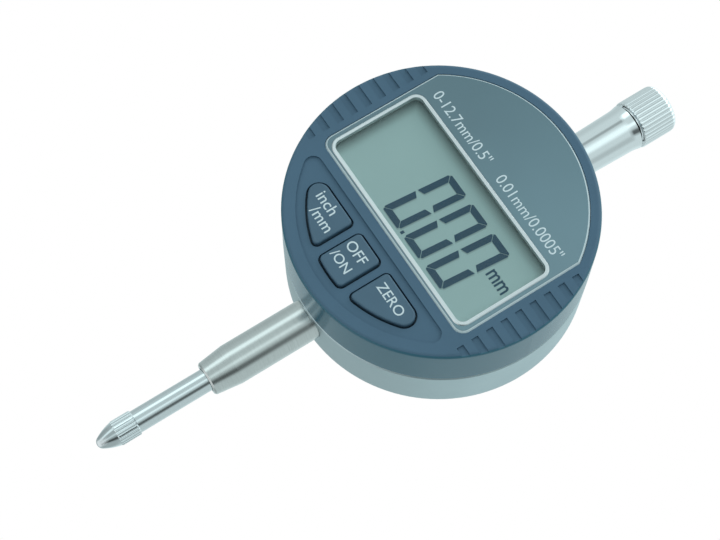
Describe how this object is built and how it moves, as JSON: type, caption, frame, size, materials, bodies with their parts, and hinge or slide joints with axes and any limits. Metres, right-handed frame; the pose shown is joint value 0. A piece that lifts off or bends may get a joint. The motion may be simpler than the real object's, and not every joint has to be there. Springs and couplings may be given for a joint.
{
  "type": "digital dial indicator",
  "caption": "Round digital indicator with a turning display head, push buttons, a clamping stem, a sprung plunger with a rounded contact point, and a lug on the back.",
  "frame": {"origin": "on the spindle axis, inside the stem's clamping length, 38 mm below the centre of the dial", "axes": "+Z along the spindle, from the contact point to the dust cap; the face looks towards -Y; +X is to the right of the face"},
  "size_m": [0.0586, 0.0401, 0.1278],
  "materials": {
    "cover_plastic": "fine moulded texture, polished side wall",
    "button_plastic": "satin",
    "plate_gloss": "glossy, back printed",
    "frame_silver": "bright silver",
    "window_clear": "clear",
    "lcd_glass": "clear, slightly green",
    "lcd_reflector": "pale grey-green",
    "lcd_ink": "dark blue-grey segments",
    "legend_white": "printed white",
    "circuit_board": "solder mask",
    "chip_black": "moulded",
    "silicone": "soft",
    "base_plastic": "moulded",
    "flex_film": "polyimide",
    "case_metal": "satin",
    "back_metal": "satin",
    "fastener_steel": "plated",
    "ring_steel": "stamped",
    "nylon": "natural",
    "seal_rubber": "soft",
    "stem_steel": "ground, hardened",
    "bush_bronze": "reamed",
    "sleeve_chrome": "polished",
    "cap_chrome": "polished, fluted",
    "spindle_steel": "lapped",
    "point_steel": "polished",
    "carrier_aluminium": "milled",
    "scale_film": "etched grid",
    "spring_steel": "drawn wire",
    "battery_steel": "plated",
    "holder_plastic": "moulded",
    "cap_plastic": "moulded"
  },
  "bodies": {
    "indicator_case": {"case": "case_metal", "retaining_ring": "ring_steel", "retaining_ring_screws": "fastener_steel", "friction_washer": "nylon", "back_gasket": "seal_rubber", "back_cover": "back_metal", "back_cover_screws": "fastener_steel", "stem": "stem_steel", "lower_bush": "bush_bronze", "spindle_seal": "seal_rubber", "top_sleeve": "sleeve_chrome", "upper_bush": "bush_bronze", "dust_cap": "cap_chrome", "guide_rod": "spindle_steel", "stop_washer": "seal_rubber", "return_spring": "spring_steel", "sensor_board": "circuit_board", "sensor_board_screws": "fastener_steel", "sensor_connector": "nylon", "sensor_chip": "chip_black", "battery": "battery_steel", "battery_holder": "holder_plastic", "battery_contact": "spring_steel", "battery_cap": "cap_plastic", "battery_cap_seal": "seal_rubber"},
    "display_head": {"front_cover": "cover_plastic", "face_plate": "plate_gloss", "lcd_frame": "frame_silver", "window": "window_clear", "lcd_glass": "lcd_glass", "lcd_reflector": "lcd_reflector", "contact_strip": "silicone", "display_board": "circuit_board", "display_board_screws": "fastener_steel", "controller_chip": "chip_black", "keypad_mat": "silicone", "head_base": "base_plastic", "head_base_screws": "fastener_steel", "flex_cable": "flex_film"},
    "plunger": {"spindle": "spindle_steel", "contact_point": "point_steel", "spindle_carrier": "carrier_aluminium", "carrier_screws": "fastener_steel", "scale_strip": "scale_film"},
    "inch_mm_button": {"inch_mm_button": "button_plastic"},
    "off_on_button": {"off_on_button": "button_plastic"},
    "zero_button": {"zero_button": "button_plastic"}
  },
  "joints": [
    {"name": "spindle_slide", "type": "slide", "parent": "indicator_case", "child": "plunger", "axis": [0, 0, 1], "range_m": [0, 0.0127], "stiffness_N_per_m": 40, "springref_m": -0.0175, "deforming": ["return_spring"]},
    {"name": "display_turn", "type": "hinge", "parent": "indicator_case", "child": "display_head", "pos_m": [0, 0, 0.038], "axis": [0, 1, 0], "range_deg": [-135, 135]},
    {"name": "inch_mm_press", "type": "slide", "parent": "display_head", "child": "inch_mm_button", "axis": [0, 1, 0], "range_m": [0, 0.0006], "stiffness_N_per_m": 1200, "springref_m": -0.0003},
    {"name": "off_on_press", "type": "slide", "parent": "display_head", "child": "off_on_button", "axis": [0, 1, 0], "range_m": [0, 0.0006], "stiffness_N_per_m": 1200, "springref_m": -0.0003},
    {"name": "zero_press", "type": "slide", "parent": "display_head", "child": "zero_button", "axis": [0, 1, 0], "range_m": [0, 0.0006], "stiffness_N_per_m": 1200, "springref_m": -0.0003}
  ]
}
